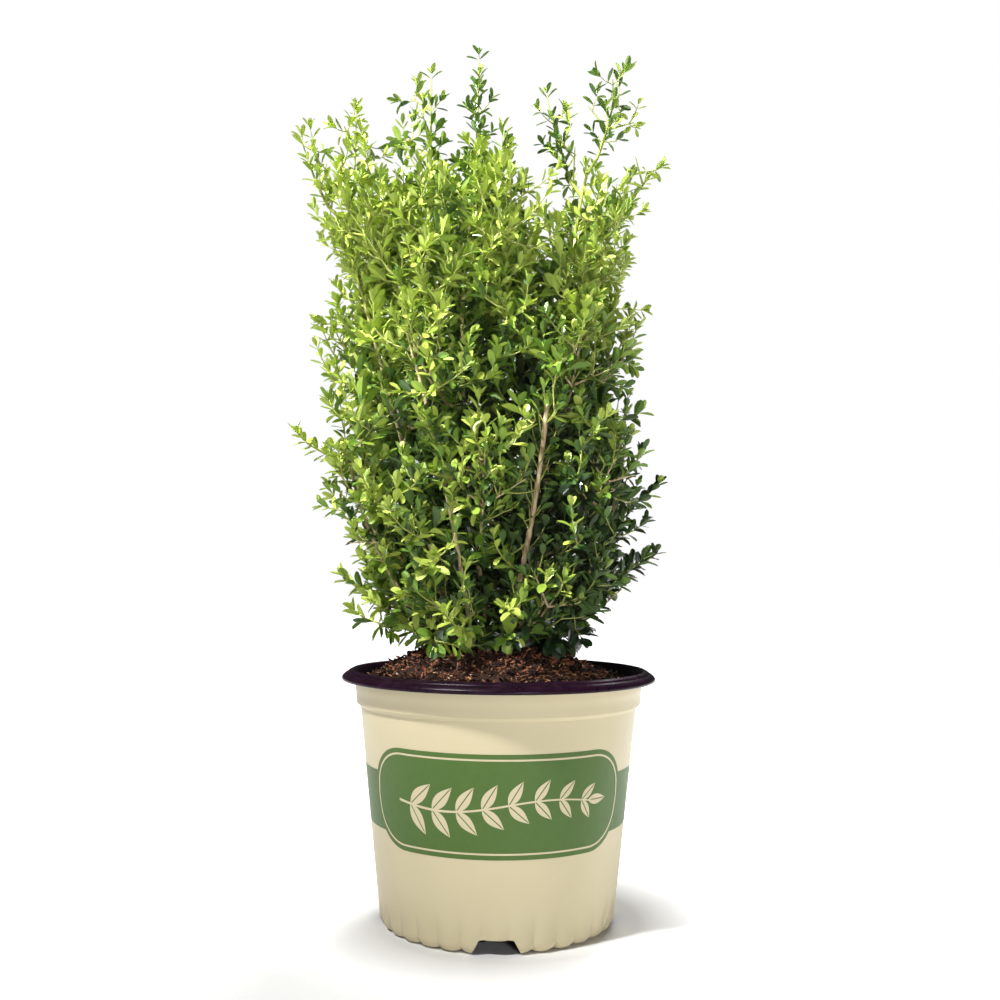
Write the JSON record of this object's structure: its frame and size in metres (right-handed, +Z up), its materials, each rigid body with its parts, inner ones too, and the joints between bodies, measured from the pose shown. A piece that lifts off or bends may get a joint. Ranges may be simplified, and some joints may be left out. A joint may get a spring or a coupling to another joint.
{
  "type": "potted boxwood",
  "caption": "Upright boxwood shrub with open leafy leaders, growing from bark mulch in a round fluted nursery pot with a rolled dark rim.",
  "frame": {"origin": "centre of the pot's underside, on the surface the pot stands on", "axes": "+Z up along the pot's axis; +X to the right and -Y towards the viewer, as in the picture"},
  "size_m": [0.352, 0.3047, 0.8166],
  "materials": {
    "pot_cream": "cream injection-moulded polypropylene, satin",
    "pot_dark": "plum-black polypropylene, slightly glossy",
    "mulch": "shredded pine bark over potting mix",
    "bark": "corky tan bark with fine ridges",
    "leaf_young": "new growth, yellow-green, soft sheen",
    "leaf_mid": "half-grown leaves, mid green, satin",
    "leaf_deep": "grown leaves, deep green, waxy"
  },
  "bodies": {
    "root": {"leader_back": "leaf_young", "leader_back_right": "leaf_young", "leader_centre": "leaf_young", "leader_centre_left": "leaf_young", "leader_inner_left": "leaf_young", "leader_inner_right": "leaf_young", "leader_left": "leaf_young", "leader_right": "leaf_young", "leader_right_side": "leaf_young", "middle_back_left": "leaf_mid", "middle_back_right": "leaf_mid", "middle_front_left": "leaf_mid", "middle_front_right": "leaf_mid", "middle_left": "leaf_mid", "middle_right": "leaf_mid", "mulch": "mulch", "pot": "pot_cream", "pot_rim": "pot_dark", "shoulder_back": "leaf_mid", "shoulder_front": "leaf_mid", "shoulder_left_back": "leaf_mid", "shoulder_left_front": "leaf_mid", "shoulder_right_back": "leaf_mid", "shoulder_right_front": "leaf_mid", "skirt_back_left": "leaf_deep", "skirt_back_right": "leaf_deep", "skirt_front_left": "leaf_deep", "skirt_front_right": "leaf_deep", "skirt_left": "leaf_deep", "skirt_right": "leaf_deep", "stem_back": "bark", "stem_back_left": "bark", "stem_back_right": "bark", "stem_centre": "bark", "stem_centre_left": "bark", "stem_front_fork": "bark", "stem_front_left": "bark", "stem_left_leader": "bark", "stem_left_low": "bark", "stem_right_leader": "bark", "stem_right_low": "bark", "waist_back": "leaf_deep", "waist_front": "leaf_deep", "waist_left_back": "leaf_deep", "waist_left_front": "leaf_deep", "waist_right_back": "leaf_deep", "waist_right_front": "leaf_deep"}
  },
  "joints": []
}
